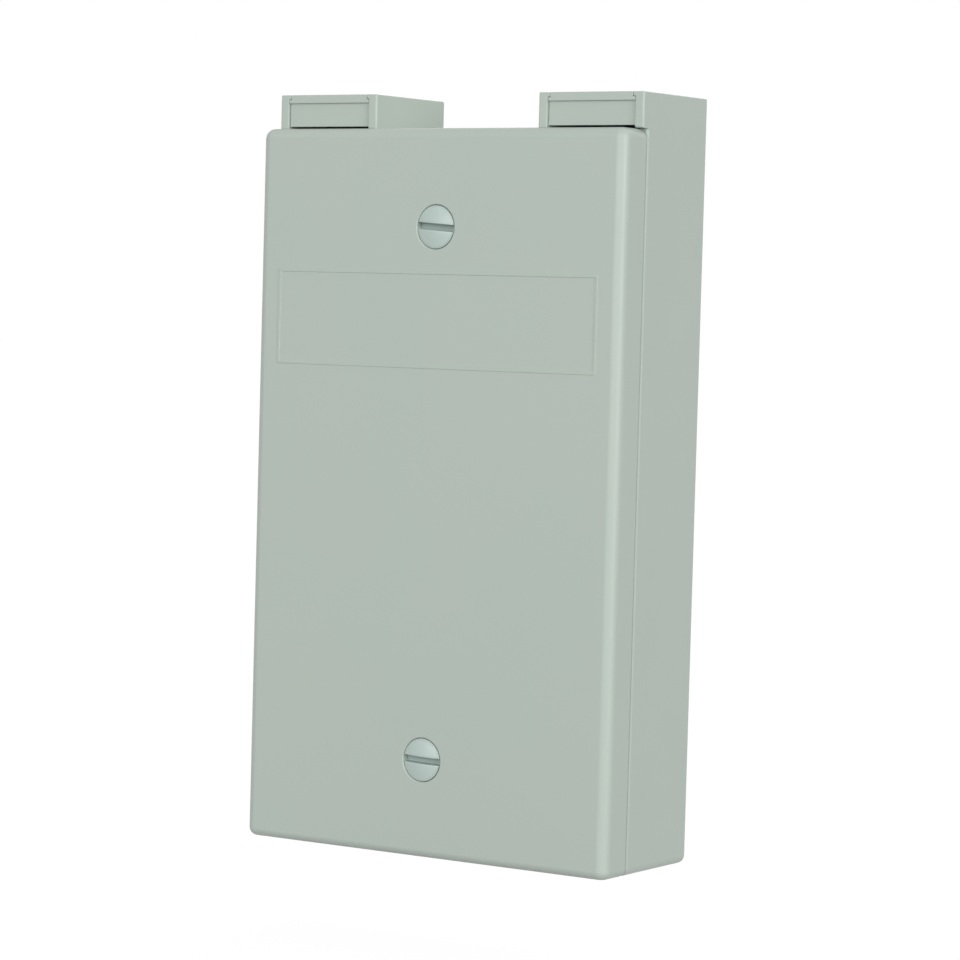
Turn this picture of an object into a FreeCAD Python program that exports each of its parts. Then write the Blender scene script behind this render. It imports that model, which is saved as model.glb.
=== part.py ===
import FreeCAD, Part
import os

import Sketcher

# Fibre outlet box for a wall: base tray, screwed cover, two cable-entry hoods and four fibre outlets below.
# Frame: X to the right, Y towards the wall with 0 on its face, Z up with 0 at the middle of the wall holes.

# Driving dimensions in millimetres
SIZES = {
    "box_width": "85.5",
    "box_height": "143",
    "base_depth": "23.1",
    "cover_depth": "8.1",
    "side_wall": "2.2",
    "back_wall": "2.2",
    "face_wall": "2.2",
    "corner_radius": "1.7",
    "top_radius": "2.05",
    "face_radius": "2.25",
    "back_radius": "1.5",
    "rim_radius": "0.55",
    "seam_radius": "0.5",
    "seam_gap": "0.25",
    "lip_wall": "0.85",
    "lip_height": "1.3",
    "lip_fit": "0.15",
    "label_inset": "5.25",
    "label_height": "19",
    "label_drop": "37.45",
    "bead_width": "0.6",
    "bead_height": "0.14",
    "bead_radius": "0.11",
    "hood_width": "23.7",
    "hood_rise": "7.05",
    "hood_overhang": "1.85",
    "hood_gap": "0.1",
    "hood_edge_radius": "0.4",
    "cheek_wall": "2",
    "track_lip": "0.5",
    "track_lip_height": "0.9",
    "insert_plate": "0.7",
    "insert_panel": "1.5",
    "insert_recess": "0.55",
    "insert_gap": "0.68",
    "insert_fit": "0.08",
    "knockout_diameter": "12",
    "score_width": "0.6",
    "score_depth": "0.5",
    "screw_inset": "19.3",
    "head_diameter": "8.3",
    "head_rim": "2.45",
    "head_dome": "0.65",
    "head_gap": "0.18",
    "slot_width": "1.35",
    "slot_depth": "1.4",
    "slot_turn_top": "4",
    "slot_turn_bottom": "1.8",
    "counterbore_depth": "2.6",
    "neck_step": "0.5",
    "thread_diameter": "4.9",
    "thread_length": "9",
    "thread_drop": "0.6",
    "screw_fit": "0.25",
    "tube_wall": "1.45",
    "boss_wall": "1.8",
    "boss_drop": "4.2",
    "brass_wall": "0.7",
    "brass_length": "9",
    "brass_fit": "0.05",
    "brass_groove_width": "2",
    "brass_groove_depth": "0.4",
    "tip_room": "2",
    "washer_diameter": "8.6",
    "washer_thickness": "1.1",
    "washer_fit": "0.15",
    "wall_hole_diameter": "4.5",
    "wall_hole_across": "60",
    "wall_hole_up": "40",
    "clamp_drop": "13.5",
    "clamp_post_diameter": "5.6",
    "clamp_post_height": "6",
    "clamp_room": "0.85",
    "clamp_width": "7",
    "clamp_thickness": "3.4",
    "cable_diameter": "6",
    "small_head_diameter": "5.2",
    "small_head_height": "1.9",
    "small_slot_width": "0.8",
    "small_slot_depth": "0.9",
    "small_shank_diameter": "2.6",
    "small_tip_room": "0.5",
    "small_fit": "0.15",
    "tray_side_room": "2.55",
    "tray_low_room": "4.8",
    "tray_high_room": "10.2",
    "tray_standoff": "3.8",
    "tray_floor": "1.5",
    "tray_rim_wall": "1.2",
    "tray_rim_height": "8",
    "tray_post_diameter": "6",
    "tray_screw_inset": "4",
    "tray_entry_width": "10",
    "access_margin": "1.75",
    "drum_diameter": "28",
    "drum_wall": "1.2",
    "drum_height": "7",
    "drum_gap": "6",
    "drum_opening": "12",
    "tab_length": "5",
    "tab_width": "6",
    "tab_thickness": "1",
    "tab_spacing": "20",
    "holder_length": "40",
    "holder_floor": "1.5",
    "holder_height": "6",
    "holder_rib": "1.3",
    "holder_slot": "2.6",
    "holder_margin": "1",
    "adapter_width": "12.8",
    "adapter_thickness": "9.3",
    "adapter_length": "27.4",
    "adapter_flange_step": "1",
    "adapter_flange_thickness": "2",
    "adapter_seat": "2.6",
    "adapter_recess": "5.3",
    "adapter_fit": "0.1",
    "socket_side_wall": "1.9",
    "socket_wall": "1",
    "socket_web": "3.4",
    "key_width": "2.7",
    "key_length": "7",
    "barrel_wall": "0.64",
    "barrel_length": "16",
    "barrel_end": "2.24",
    "ferrule_fit": "0.1",
    "sleeve_diameter": "3.2",
    "sleeve_wall": "0.35",
    "sleeve_slit": "0.4",
    "sleeve_fit": "0.06",
    "comb_wall": "1.5",
    "comb_drop": "1.9",
    "window_margin": "0.6",
    "keeper_wall": "1.5",
    "keeper_gap": "0.3",
    "cap_grip_side": "1",
    "cap_grip_step": "0.35",
    "cap_recess": "0.3",
    "cap_plug_room": "3",
    "cap_fit": "0.15",
    "cap_barrel_gap": "0.3",
    "cap_groove": "0.6",
}

# Numbers of splice slots in the holder, of outlets each side of the lower boss and of grooves on a cap's face
SPLICE_SLOTS = 4
OUTLETS_PER_SIDE = 2
CAP_GROOVES = 3

# Points of a sketch line or arc, and the two hands of a mirrored pair as signs
START, END, CENTRE = range(1, 4)
LEFT, RIGHT = range(-1, 2, 2)
FULL_TURN = 360
NEAR = 1e-4

# Shares of an upright edge's rounding, or of a wall, that an edge which runs into it may take
EDGE_SHARE = 0.93
WALL_SHARE = 0.6

doc = FreeCAD.newDocument("fibre_outlet_box")
sheet = doc.addObject("Spreadsheet::Sheet", "sizes")
for row, (alias, number) in enumerate(SIZES.items(), start=1):
    sheet.set(f"A{row}", alias)
    sheet.set(f"B{row}", number)
    sheet.setAlias(f"B{row}", alias)
doc.recompute()


class Size:
    """A length that knows its value now and the sheet expression that it is bound to."""

    def __init__(self, value, text):
        self.value = value
        self.text = text

    def joined(self, sign, other, value):
        return Size(value, f"({self.text} {sign} {other.text})")

    def __add__(self, other):
        other = as_size(other)
        return self.joined("+", other, self.value + other.value)

    def __sub__(self, other):
        other = as_size(other)
        return self.joined("-", other, self.value - other.value)

    def __mul__(self, other):
        other = as_size(other)
        return self.joined("*", other, self.value * other.value)

    def __truediv__(self, other):
        other = as_size(other)
        return self.joined("/", other, self.value / other.value)

    def __neg__(self):
        return Size(-self.value, f"(-{self.text})")

    __rmul__ = __mul__


def as_size(number):
    return number if isinstance(number, Size) else Size(number, str(number))


def smaller(first, second):
    """The smaller of two lengths, as a rounding that its wall limits."""
    return Size(min(first.value, second.value), f"min({first.text}; {second.text})")


def size(alias):
    return Size(float(sheet.get(alias)), f"sizes.{alias}")


def bind(item, name, length):
    item.setExpression(name, as_size(length).text)


# Sketches and features

def new_body(label):
    body = doc.addObject("PartDesign::Body", label)
    body.Label = label
    return body


def sketch_on(body, name, plane, height):
    """A sketch parallel to one of the body's origin planes, at a height along that plane's normal."""
    sketch = body.newObject("Sketcher::SketchObject", name)
    support = next(feature for feature in body.Origin.OriginFeatures if feature.Role == plane)
    sketch.AttachmentSupport = [(support, "")]
    sketch.MapMode = "FlatFace"
    bind(sketch, "AttachmentOffset.Base.z", height)
    return sketch


def at_depth(body, name, depth):
    """A sketch that faces the room, at a depth in front of the wall."""
    return sketch_on(body, name, "XZ_Plane", depth)


def fix(sketch, kind, element, point, length):
    place = (element,) if point is None else (element, point)
    index = sketch.addConstraint(Sketcher.Constraint(kind, *place, length.value))
    sketch.setExpression(f"Constraints[{index}]", length.text)


def fix_point(sketch, element, point, x, y):
    fix(sketch, "DistanceX", element, point, as_size(x))
    fix(sketch, "DistanceY", element, point, as_size(y))


def polygon(sketch, corners):
    """A closed outline of straight lines with every corner bound to the sheet."""
    first = sketch.GeometryCount
    count = len(corners)
    points = [FreeCAD.Vector(as_size(x).value, as_size(y).value, 0) for x, y in corners]
    for start, end in zip(points, points[1:] + points[:1]):
        sketch.addGeometry(Part.LineSegment(start, end), False)
    for step, (x, y) in enumerate(corners):
        line = first + step
        following = first + (step + 1) % count
        sketch.addConstraint(Sketcher.Constraint("Coincident", line, END, following, START))
        fix_point(sketch, line, START, x, y)


def rectangle(sketch, x, y, width, height):
    """A rectangle about its centre."""
    x, y = as_size(x), as_size(y)
    left, right = x - width / 2, x + width / 2
    low, high = y - height / 2, y + height / 2
    polygon(sketch, [(left, low), (right, low), (right, high), (left, high)])


def circle(sketch, x, y, diameter):
    x, y = as_size(x), as_size(y)
    centre = FreeCAD.Vector(x.value, y.value, 0)
    index = sketch.addGeometry(Part.Circle(centre, FreeCAD.Vector(0, 0, 1), diameter.value / 2), False)
    fix(sketch, "Diameter", index, None, diameter)
    fix_point(sketch, index, CENTRE, x, y)


def grow(body, kind, name, sketch, length, backwards):
    before = body.Shape.Volume if body.Tip else 0
    feature = body.newObject(f"PartDesign::{kind}", name)
    feature.Profile = sketch
    feature.Reversed = backwards
    bind(feature, "Length", length)
    doc.recompute()
    change = body.Shape.Volume - before
    if (kind == "Pad") != (change > 0) or abs(change) < NEAR:
        raise RuntimeError(f"{body.Label}: {name} changed the volume by {change:.4f}")
    return feature


def pad(body, name, sketch, length, backwards=False):
    return grow(body, "Pad", name, sketch, length, backwards)


def pocket(body, name, sketch, length, backwards=False):
    return grow(body, "Pocket", name, sketch, length, backwards)


def revolve(body, name, sketch, axis):
    feature = body.newObject("PartDesign::Revolution", name)
    feature.Profile = sketch
    feature.ReferenceAxis = (sketch, [axis])
    feature.Angle = FULL_TURN
    doc.recompute()
    return feature


def round_edges(body, name, radius, wanted):
    """Round every edge of the body that the test picks."""
    base = body.Tip
    edges = [f"Edge{index}" for index, edge in enumerate(base.Shape.Edges, start=1) if wanted(edge)]
    if not edges:
        raise RuntimeError(f"{body.Label}: {name} found no edge")
    feature = body.newObject("PartDesign::Fillet", name)
    feature.Base = (base, edges)
    bind(feature, "Radius", radius)
    doc.recompute()
    return feature


def is_near(first, second):
    return abs(first - second) < NEAR


def lies_at_depth(edge, depth):
    return is_near(edge.BoundBox.YMin, -depth.value) and is_near(edge.BoundBox.YMax, -depth.value)


def lies_at_level(edge, level):
    return is_near(edge.BoundBox.ZMin, level.value) and is_near(edge.BoundBox.ZMax, level.value)


def runs_upright(edge):
    box = edge.BoundBox
    return is_near(box.XLength, 0) and is_near(box.YLength, 0)


def runs_along_depth(edge):
    box = edge.BoundBox
    return is_near(box.XLength, 0) and is_near(box.ZLength, 0)


# Sizes and places that more than one piece takes its seat from
half_width = size("box_width") / 2
half_height = size("box_height") / 2
side_wall = size("side_wall")
back_wall = size("back_wall")
seam = size("base_depth")
cover_back = seam + size("seam_gap")
face = seam + size("cover_depth")
hood_inner = half_width - size("hood_width")
hood_middle = half_width - size("hood_width") / 2
hood_top = half_height + size("hood_rise")
hood_front = seam + size("hood_overhang")
duct_width = size("hood_width") - 2 * size("cheek_wall")
track_top = hood_top - size("track_lip_height")
upper_rounding = smaller(size("top_radius"), EDGE_SHARE * size("face_radius"))
lower_rounding = smaller(size("corner_radius"), EDGE_SHARE * size("face_radius"))

# Cover screws, their brass threads and the bosses
boss_top = seam - size("boss_drop")
screw_rise = half_height - size("screw_inset")
counterbore_diameter = size("head_diameter") + 2 * size("head_gap")
counterbore_floor = face - size("counterbore_depth")
neck_diameter = size("thread_diameter") - 2 * size("neck_step")
thread_hole = size("thread_diameter") + 2 * size("screw_fit")
thread_start = boss_top - size("thread_drop")
brass_hole = size("thread_diameter") + 2 * size("brass_fit")
brass_diameter = brass_hole + 2 * size("brass_wall")
boss_diameter = brass_diameter + 2 * (size("brass_fit") + size("boss_wall"))
cover_screw_places = [(as_size(0), hand * screw_rise) for hand in (LEFT, RIGHT)]

# Outlets: two on each side, spread evenly between the lower boss and the side wall
outlet_back = back_wall + size("adapter_seat")
outlet_front = outlet_back + size("adapter_thickness")
outlet_middle = (outlet_back + outlet_front) / 2
outlet_low = size("adapter_recess") - half_height
outlet_rise = outlet_low + size("adapter_length") / 2
outlet_high = outlet_low + size("adapter_length")
flange_width = size("adapter_width") + 2 * size("adapter_flange_step")
outlet_room = half_width - side_wall - boss_diameter / 2
outlet_gap = (outlet_room - OUTLETS_PER_SIDE * flange_width) / (OUTLETS_PER_SIDE + 1)
outlet_pitch = flange_width + outlet_gap
outlet_first = boss_diameter / 2 + outlet_gap + flange_width / 2
outlet_places = []
for outlet_side in (LEFT, RIGHT):
    for outlet_step in range(OUTLETS_PER_SIDE):
        outlet_places.append(outlet_side * (outlet_first + outlet_step * outlet_pitch))
outlet_places.sort(key=lambda place: place.value)
socket_width = size("adapter_width") - 2 * size("socket_side_wall")
socket_thickness = size("adapter_thickness") - 2 * size("socket_wall")
socket_depth = (size("adapter_length") - size("socket_web")) / 2
sleeve_room = size("sleeve_diameter") + 2 * size("sleeve_fit")
sleeve_bore = size("sleeve_diameter") - 2 * size("sleeve_wall")
sleeve_length = size("barrel_length") - 2 * (size("barrel_end") + size("sleeve_fit"))
barrel_diameter = sleeve_room + 2 * size("barrel_wall")
cap_grip_length = size("adapter_recess") - size("cap_recess")

# Cable clamps under the hoods
clamp_seat = back_wall + size("clamp_post_height")
clamp_top = clamp_seat + size("clamp_thickness")
clamp_rise = half_height - size("clamp_drop")
clamp_length = duct_width - 2 * size("clamp_room")
clamp_span = clamp_length - size("clamp_post_diameter")
clamp_screw_places = []
for hood_side in (LEFT, RIGHT):
    for hand in (LEFT, RIGHT):
        clamp_screw_places.append((hood_side * hood_middle + hand * clamp_span / 2, clamp_rise))
small_hole = size("small_shank_diameter") + 2 * size("small_fit")

# Splice tray between the outlets' inner caps and the upper boss, with its comb above its drums
tray_seat = back_wall + size("tray_standoff")
tray_top = tray_seat + size("tray_floor")
tray_rim_top = tray_top + size("tray_rim_height")
tray_width = 2 * (half_width - side_wall - size("tray_side_room"))
tray_low = outlet_high + cap_grip_length + size("tray_low_room")
tray_high = screw_rise - boss_diameter / 2 - size("tray_high_room")
tray_rise = (tray_low + tray_high) / 2
tray_height = tray_high - tray_low
holder_pitch = size("holder_rib") + size("holder_slot")
holder_width = SPLICE_SLOTS * holder_pitch + size("holder_rib")
holder_high = tray_high - size("tray_rim_wall") - size("holder_margin")
holder_low = holder_high - holder_width
drum_rise = (tray_low + size("tray_rim_wall") + holder_low) / 2
drum_reach = (size("drum_diameter") + size("drum_gap")) / 2
tray_screw_reach = size("drum_diameter") / 2 - size("tray_screw_inset")
tray_screw_places = [(as_size(0), drum_rise + hand * tray_screw_reach) for hand in (LEFT, RIGHT)]

# Holes for the wall screws, which the tray leaves open
wall_hole_places = []
for hole_side in (LEFT, RIGHT):
    for hole_level in (LEFT, RIGHT):
        place = (hole_side * size("wall_hole_across") / 2, hole_level * size("wall_hole_up") / 2)
        wall_hole_places.append(place)


def circles(body, name, depth, places, diameter):
    sketch = at_depth(body, name, depth)
    for x, z in places:
        circle(sketch, x, z, diameter)
    return sketch


def build_base():
    """The tray: walls with two open hoods, a rabbet for the cover, bosses, posts, combs and holes."""
    body = new_body("base")
    sketch = at_depth(body, "outline", 0)
    polygon(sketch, [
        (-half_width, -half_height), (half_width, -half_height),
        (half_width, hood_top), (hood_inner, hood_top), (hood_inner, half_height),
        (-hood_inner, half_height), (-hood_inner, hood_top), (-half_width, hood_top),
    ])
    pad(body, "block", sketch, seam)

    round_edges(body, "lower_corners", lower_rounding,
                lambda edge: runs_along_depth(edge) and is_near(edge.BoundBox.ZMin, -half_height.value))
    round_edges(body, "back_edges", smaller(size("back_radius"), EDGE_SHARE * lower_rounding),
                lambda edge: lies_at_depth(edge, as_size(0)))

    # Hollow with the rabbet that takes the cover's lip
    sketch = at_depth(body, "hollow_outline", seam)
    rectangle(sketch, 0, 0, 2 * (half_width - side_wall), 2 * (half_height - side_wall))
    pocket(body, "hollow", sketch, seam - back_wall)
    rabbet_wall = side_wall - size("lip_wall") - size("lip_fit")
    sketch = at_depth(body, "rabbet_outline", seam)
    rectangle(sketch, 0, 0, 2 * (half_width - rabbet_wall), 2 * (half_height - rabbet_wall))
    pocket(body, "rabbet", sketch, size("lip_height") + size("lip_fit"))
    rim_rounding = smaller(size("rim_radius"), WALL_SHARE * rabbet_wall)
    round_edges(body, "rim", rim_rounding, is_outer_rim)

    # Hoods: forward cheeks from behind the rounded rim, the duct between them and the slot above the tracks
    sketch = at_depth(body, "hood_fronts", seam - rim_rounding)
    low = half_height + size("hood_gap")
    for side in (LEFT, RIGHT):
        rectangle(sketch, side * hood_middle, (low + hood_top) / 2, size("hood_width"), hood_top - low)
    pad(body, "hood_overhangs", sketch, rim_rounding + size("hood_overhang"))
    round_edges(body, "hood_front_edges", size("hood_edge_radius"), is_hood_front)
    sketch = at_depth(body, "duct_outline", hood_front)
    low = half_height - side_wall
    for side in (LEFT, RIGHT):
        rectangle(sketch, side * hood_middle, (low + track_top) / 2, duct_width, track_top - low)
    pocket(body, "ducts", sketch, hood_front - back_wall)
    sketch = at_depth(body, "slot_outline", hood_front)
    slot_width = duct_width - 2 * size("track_lip")
    for side in (LEFT, RIGHT):
        rectangle(sketch, side * hood_middle, (track_top + hood_top) / 2, slot_width, hood_top - track_top)
    pocket(body, "track_slots", sketch, hood_front - back_wall)

    # Bosses for the cover screws, with the bores for their brass threads
    pad(body, "bosses", circles(body, "boss_rings", back_wall, cover_screw_places, boss_diameter),
        boss_top - back_wall)
    brass_bore = brass_diameter + 2 * size("brass_fit")
    pocket(body, "brass_bores", circles(body, "brass_rings", boss_top, cover_screw_places, brass_bore),
           size("brass_length") + size("brass_fit"))
    pocket(body, "tip_bores", circles(body, "tip_rings", boss_top, cover_screw_places, thread_hole),
           size("thread_drop") + size("thread_length") + size("tip_room"))

    # Posts for the cable clamps and the splice tray, with pilot holes down to the back wall
    pad(body, "clamp_posts", circles(body, "clamp_post_rings", back_wall, clamp_screw_places,
        size("clamp_post_diameter")), size("clamp_post_height"))
    pocket(body, "clamp_pilots", circles(body, "clamp_pilot_rings", clamp_seat, clamp_screw_places,
           small_hole), size("clamp_post_height"))
    pad(body, "tray_posts", circles(body, "tray_post_rings", back_wall, tray_screw_places,
        size("tray_post_diameter")), size("tray_standoff"))
    pocket(body, "tray_pilots", circles(body, "tray_pilot_rings", tray_seat, tray_screw_places, small_hole),
           size("tray_standoff"))

    # Combs: two ribs each side that hold the outlets' flanges, notched for their bodies
    comb_wall = size("comb_wall")
    flange_room = size("adapter_flange_thickness") + 2 * size("adapter_fit")
    notch_width = size("adapter_width") + 2 * size("adapter_fit")
    comb_start = outlet_first - notch_width / 2 - comb_wall
    comb_length = half_width - side_wall / 2 - comb_start
    comb_top = outlet_front - size("comb_drop")
    sketch = at_depth(body, "comb_ribs", back_wall)
    for side in (LEFT, RIGHT):
        for level in (LEFT, RIGHT):
            rise = outlet_rise + level * (flange_room + comb_wall) / 2
            rectangle(sketch, side * (comb_start + comb_length / 2), rise, comb_length, comb_wall)
    pad(body, "combs", sketch, comb_top - back_wall)
    sketch = at_depth(body, "comb_notches", comb_top)
    for x in outlet_places:
        rectangle(sketch, x, outlet_rise, notch_width, flange_room + 3 * comb_wall)
    pocket(body, "notches", sketch, comb_top - outlet_back)

    # Windows for the outlets in the bottom wall
    margin = size("window_margin")
    sketch = at_depth(body, "window_outlines", outlet_front + margin)
    for x in outlet_places:
        rectangle(sketch, x, side_wall / 2 - half_height, size("adapter_width") + 2 * margin, 2 * side_wall)
    pocket(body, "windows", sketch, size("adapter_thickness") + 2 * margin)

    pocket(body, "wall_holes", circles(body, "wall_hole_rings", back_wall, wall_hole_places,
           size("wall_hole_diameter")), back_wall)
    return body


def is_outer_rim(edge):
    """The base's outer front edge: its sides, its bottom and its top between the hoods."""
    box = edge.BoundBox
    on_side = is_near(max(abs(box.XMin), abs(box.XMax)), half_width.value)
    on_bottom = is_near(box.ZMin, -half_height.value)
    on_top = is_near(box.ZMin, half_height.value) and is_near(box.ZMax, half_height.value)
    return lies_at_depth(edge, seam) and (on_side or on_bottom or on_top)


def is_hood_front(edge):
    """A hood's front edge, except the one along its top."""
    return lies_at_depth(edge, hood_front) and not is_near(edge.BoundBox.ZMin, hood_top.value)


def build_cover():
    """The front shell: rounded face, label bead, screw tubes, lip and the ribs that keep the outlets in."""
    body = new_body("cover")
    sketch = at_depth(body, "outline", cover_back)
    rectangle(sketch, 0, 0, size("box_width"), size("box_height"))
    pad(body, "block", sketch, face - cover_back)
    round_edges(body, "upright_edges", size("face_radius"),
                lambda edge: lies_at_depth(edge, face) and runs_upright(edge))
    round_edges(body, "upper_edges", upper_rounding, lambda edge: lies_at_level(edge, half_height)
                and not lies_at_depth(edge, cover_back))
    round_edges(body, "lower_edges", lower_rounding, lambda edge: lies_at_level(edge, -half_height)
                and not lies_at_depth(edge, cover_back))
    round_edges(body, "seam_edges", size("seam_radius"), lambda edge: lies_at_depth(edge, cover_back))

    inside = face - size("face_wall")
    hollow_width = 2 * (half_width - side_wall)
    hollow_height = 2 * (half_height - side_wall)
    sketch = at_depth(body, "hollow_outline", cover_back)
    rectangle(sketch, 0, 0, hollow_width, hollow_height)
    pocket(body, "hollow", sketch, inside - cover_back, backwards=True)

    lip = 2 * size("lip_wall")
    sketch = at_depth(body, "lip_outline", cover_back)
    rectangle(sketch, 0, 0, hollow_width + lip, hollow_height + lip)
    rectangle(sketch, 0, 0, hollow_width, hollow_height)
    pad(body, "lip", sketch, size("seam_gap") + size("lip_height"), backwards=True)

    # Screw tubes with a counterbore for the head and a recess for the captive washer
    tube_diameter = counterbore_diameter + 2 * size("tube_wall")
    pad(body, "tubes", circles(body, "tube_rings", boss_top, cover_screw_places, tube_diameter),
        inside - boss_top)
    pocket(body, "counterbores", circles(body, "counterbore_rings", face, cover_screw_places,
           counterbore_diameter), size("counterbore_depth"))
    pocket(body, "screw_holes", circles(body, "hole_rings", counterbore_floor, cover_screw_places,
           thread_hole), counterbore_floor - boss_top)
    recess = size("washer_diameter") + 2 * size("washer_fit")
    pocket(body, "washer_recesses", circles(body, "recess_rings", boss_top, cover_screw_places, recess),
           size("washer_thickness") + size("washer_fit"), backwards=True)

    # Ribs that keep the outlets in their combs
    keeper = outlet_front + size("keeper_gap")
    keeper_start = outlet_first - size("adapter_width") / 2
    keeper_length = (OUTLETS_PER_SIDE - 1) * outlet_pitch + size("adapter_width")
    sketch = at_depth(body, "keeper_ribs", keeper)
    for side in (LEFT, RIGHT):
        rectangle(sketch, side * (keeper_start + keeper_length / 2), outlet_rise, keeper_length,
                  size("keeper_wall"))
    pad(body, "keepers", sketch, inside - keeper)

    # Raised bead round the bare label field
    bead = 2 * size("bead_width")
    label_rise = half_height - size("label_drop")
    label_width = 2 * (half_width - size("label_inset"))
    sketch = at_depth(body, "bead_outline", face)
    rectangle(sketch, 0, label_rise, label_width, size("label_height"))
    rectangle(sketch, 0, label_rise, label_width - bead, size("label_height") - bead)
    pad(body, "label_bead", sketch, size("bead_height"))
    round_edges(body, "bead_edges", size("bead_radius"),
                lambda edge: lies_at_depth(edge, face + size("bead_height")))
    return body


def turned(label, corners):
    """A piece turned about the Y axis from corners given as radius and depth in front of the wall."""
    body = new_body(label)
    sketch = sketch_on(body, "profile", "XY_Plane", 0)
    polygon(sketch, [(radius, -as_size(depth)) for radius, depth in corners])
    revolve(body, "turn", sketch, "V_Axis")
    return body


def place_at(body, x, z):
    bind(body, "Placement.Base.x", x)
    bind(body, "Placement.Base.z", z)


def build_cover_screw(label, rise, turn):
    """A slotted screw with a domed head, a thin neck and a thread, turned as far as it was tightened."""
    body = new_body(label)
    head, neck, thread = size("head_diameter") / 2, neck_diameter / 2, size("thread_diameter") / 2
    rim = counterbore_floor + size("head_rim")
    crown = rim + size("head_dome")
    tip = thread_start - size("thread_length")
    sketch = sketch_on(body, "profile", "XY_Plane", 0)
    corners = [(0, tip), (thread, tip), (thread, thread_start), (neck, thread_start),
               (neck, counterbore_floor), (head, counterbore_floor), (head, rim)]
    points = [FreeCAD.Vector(as_size(r).value, -as_size(d).value, 0) for r, d in corners]
    for start, end in zip(points, points[1:]):
        sketch.addGeometry(Part.LineSegment(start, end), False)
    top = FreeCAD.Vector(0, -crown.value, 0)
    last = len(corners) - 1
    bulge = (head * head + size("head_dome") * size("head_dome")) / (2 * size("head_dome"))
    centre = FreeCAD.Vector(0, bulge.value - crown.value, 0)
    between = (points[-1] - centre) + (top - centre)
    middle = centre + between.normalize() * bulge.value
    dome = sketch.addGeometry(Part.ArcOfCircle(points[-1], middle, top), False)
    axis = sketch.addGeometry(Part.LineSegment(top, points[0]), False)
    for line in range(last - 1):
        sketch.addConstraint(Sketcher.Constraint("Coincident", line, END, line + 1, START))
    for line, (radius, depth) in enumerate(corners[:-1]):
        fix_point(sketch, line, START, radius, -as_size(depth))
    fix_point(sketch, last - 1, END, head, -rim)
    reach = [(point, sketch.getPoint(dome, point)) for point in (START, END)]
    rim_end, top_end = (point for point, place in sorted(reach, key=lambda item: -item[1].x))
    sketch.addConstraint(Sketcher.Constraint("Coincident", dome, rim_end, last - 1, END))
    sketch.addConstraint(Sketcher.Constraint("Coincident", dome, top_end, axis, START))
    sketch.addConstraint(Sketcher.Constraint("Coincident", axis, END, 0, START))
    fix_point(sketch, dome, CENTRE, 0, bulge - crown)
    fix(sketch, "DistanceX", axis, START, as_size(0))
    revolve(body, "turn", sketch, "V_Axis")
    sketch = at_depth(body, "slot_outline", crown)
    rectangle(sketch, 0, 0, 2 * size("head_diameter"), size("slot_width"))
    pocket(body, "slot", sketch, size("slot_depth"))
    body.Placement.Rotation = FreeCAD.Rotation(FreeCAD.Vector(0, 1, 0), turn.value)
    bind(body, "Placement.Rotation.Angle", turn)
    place_at(body, 0, rise)
    return body


def build_washer(label, rise):
    inner, outer = neck_diameter / 2 + size("screw_fit"), size("washer_diameter") / 2
    low, high = boss_top, boss_top + size("washer_thickness")
    body = turned(label, [(inner, low), (outer, low), (outer, high), (inner, high)])
    place_at(body, 0, rise)
    return body


def build_threaded_insert(label, rise):
    """A brass bush with a groove round its middle that the plastic grips."""
    inner, outer = brass_hole / 2, brass_diameter / 2
    groove = outer - size("brass_groove_depth")
    high = boss_top
    low = boss_top - size("brass_length")
    middle = (low + high) / 2
    upper, lower = middle + size("brass_groove_width") / 2, middle - size("brass_groove_width") / 2
    body = turned(label, [(inner, low), (outer, low), (outer, lower), (groove, lower), (groove, upper),
                          (outer, upper), (outer, high), (inner, high)])
    place_at(body, 0, rise)
    return body


def build_entry_insert(label, side):
    """The closure of a hood: a top plate that slides under the track lips, and a front panel."""
    body = new_body(label)
    fit = size("insert_fit")
    wide = duct_width - 2 * fit
    narrow = wide - 2 * size("track_lip")
    plate_top = track_top - fit
    plate_low = plate_top - size("insert_plate")
    panel_front = hood_front - size("insert_recess")
    x = side * hood_middle
    sketch = at_depth(body, "plate_outline", back_wall + fit)
    rectangle(sketch, x, (plate_low + plate_top) / 2, wide, plate_top - plate_low)
    pad(body, "plate", sketch, hood_front - back_wall - fit)
    sketch = at_depth(body, "ridge_outline", back_wall + fit)
    rectangle(sketch, x, (plate_top + hood_top) / 2, narrow, hood_top - plate_top)
    pad(body, "ridge", sketch, hood_front - back_wall - fit)
    panel_low = half_height + size("insert_gap")
    sketch = at_depth(body, "panel_outline", panel_front - size("insert_panel"))
    rectangle(sketch, x, (panel_low + plate_low) / 2, wide, plate_low - panel_low)
    pad(body, "panel", sketch, size("insert_panel"))

    # Scored ring for a cable, to be broken out on site
    sketch = sketch_on(body, "score_ring", "XY_Plane", hood_top)
    y = -(back_wall + panel_front - size("insert_panel")) / 2
    circle(sketch, x, y, size("knockout_diameter"))
    circle(sketch, x, y, size("knockout_diameter") - 2 * size("score_width"))
    pocket(body, "score", sketch, size("score_depth"))
    return body


def build_clamp(label, side):
    """A bar across the cable with two screw holes and a trough underneath."""
    body = new_body(label)
    x = side * hood_middle
    sketch = at_depth(body, "outline", clamp_seat)
    rectangle(sketch, x, clamp_rise, clamp_length, size("clamp_width"))
    pad(body, "bar", sketch, size("clamp_thickness"))
    holes = [(x + hand * clamp_span / 2, clamp_rise) for hand in (LEFT, RIGHT)]
    pocket(body, "holes", circles(body, "hole_rings", clamp_top, holes, small_hole), size("clamp_thickness"))
    sketch = sketch_on(body, "trough_outline", "XY_Plane", clamp_rise + size("clamp_width") / 2)
    sag = size("cable_diameter") / 2 - size("clamp_thickness") / 2
    circle(sketch, x, sag - clamp_seat, size("cable_diameter"))
    pocket(body, "trough", sketch, size("clamp_width"))
    return body


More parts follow.
